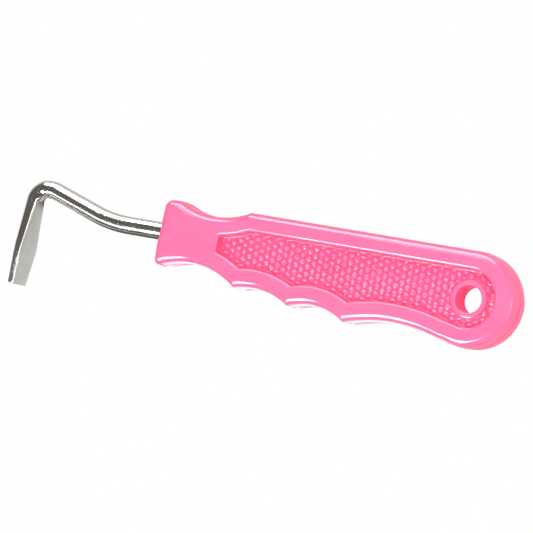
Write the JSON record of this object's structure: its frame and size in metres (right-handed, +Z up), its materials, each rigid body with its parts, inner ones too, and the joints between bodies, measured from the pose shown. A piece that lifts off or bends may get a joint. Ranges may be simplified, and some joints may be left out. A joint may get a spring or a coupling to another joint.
{
  "type": "hoof pick",
  "caption": "Hoof pick: a bent plated steel rod with a forged flat blade, moulded into a glossy plastic handle with finger grooves, studded grip panels and a hang hole.",
  "frame": {"origin": "centre of the box that the whole pick fills, on the plane of its lower broad face", "axes": "+X along the handle from the blade to the butt, +Y towards the handle's straight top edge, +Z up out of the upper broad face"},
  "size_m": [0.1752, 0.0356, 0.0126],
  "materials": {
    "plated_steel": "bright plating over bent rod, duller and pitted where it was forged flat",
    "pink_plastic": "glossy injection moulding"
  },
  "bodies": {
    "root": {"steel_pick": "plated_steel", "handle": "pink_plastic"}
  },
  "joints": []
}
